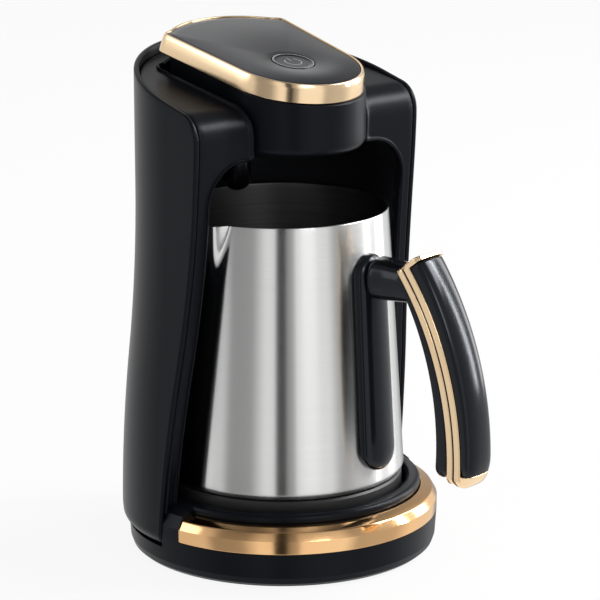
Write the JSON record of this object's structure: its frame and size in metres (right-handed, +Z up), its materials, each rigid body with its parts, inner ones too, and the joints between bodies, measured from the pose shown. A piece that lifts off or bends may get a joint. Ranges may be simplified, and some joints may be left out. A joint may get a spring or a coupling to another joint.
{
  "type": "electric turkish coffee maker",
  "caption": "Countertop electric coffee maker with a round hot plate, arched bay, sensing lid with push button and a spouted steel jug with a side handle.",
  "frame": {"origin": "centre of the round base, at the level the foot ring stands on", "axes": "+Z up, -Y to the front where the jug comes out, +X to the right of someone facing the front"},
  "size_m": [0.1284, 0.1662, 0.211],
  "materials": {
    "satin_black": "fine satin moulded texture",
    "gloss_black": "polished",
    "rose_gold": "metallised rose gold, polished",
    "jug_steel": "brushed around the body",
    "disc_steel": "turned",
    "plate_coating": "dark non-stick coating",
    "element_steel": "dull drawn tube",
    "screw_steel": "zinc plated",
    "soft_rubber": "matt",
    "board_green": "solder mask",
    "white_plastic": "moulded",
    "dark_parts": "moulded",
    "relay_blue": "moulded",
    "cup_aluminium": "drawn",
    "wire_cover": "heat-proof sleeve"
  },
  "bodies": {
    "machine": {"base_body": "satin_black", "base_trim": "rose_gold", "bay_liner": "satin_black", "board_screws": "screw_steel", "bottom_cover": "satin_black", "bottom_screws": "screw_steel", "buzzer": "dark_parts", "capacitor": "dark_parts", "control_board": "board_green", "control_panel": "gloss_black", "cord_gland": "soft_rubber", "foot_ring": "soft_rubber", "front_fascia": "satin_black", "head_shell": "satin_black", "head_underside": "satin_black", "heating_element": "element_steel", "heating_plate": "plate_coating", "lid_trim": "rose_gold", "light_guide": "white_plastic", "plate_gasket": "soft_rubber", "power_board": "board_green", "power_board_posts": "white_plastic", "power_relay": "relay_blue", "rear_shell": "satin_black", "seat_ring": "satin_black", "sensor_board": "board_green", "sensor_probe": "gloss_black", "tact_switch": "dark_parts", "terminal_block": "white_plastic", "thermal_fuse": "cup_aluminium", "thermostat": "cup_aluminium", "thermostat_clip": "element_steel", "wiring_harness": "wire_cover"},
    "button": {"power_button": "gloss_black", "switch_stem": "white_plastic"},
    "jug": {"jug_shell": "jug_steel", "jug_base_disc": "disc_steel", "handle_bracket": "satin_black", "grip_core": "satin_black", "grip_trim_inner": "rose_gold", "grip_seam": "satin_black", "grip_trim_outer": "rose_gold", "grip_cover": "satin_black", "handle_arm": "satin_black", "handle_screws": "screw_steel"}
  },
  "joints": [
    {"name": "jug_pull", "type": "slide", "parent": "machine", "child": "jug", "axis": [0, -1, 0], "range_m": [0, 0.2]},
    {"name": "button_press", "type": "slide", "parent": "machine", "child": "button", "axis": [0, 0.1961, -0.9806], "range_m": [0, 0.001], "stiffness_N_per_m": 500, "springref_m": -0.0005}
  ]
}
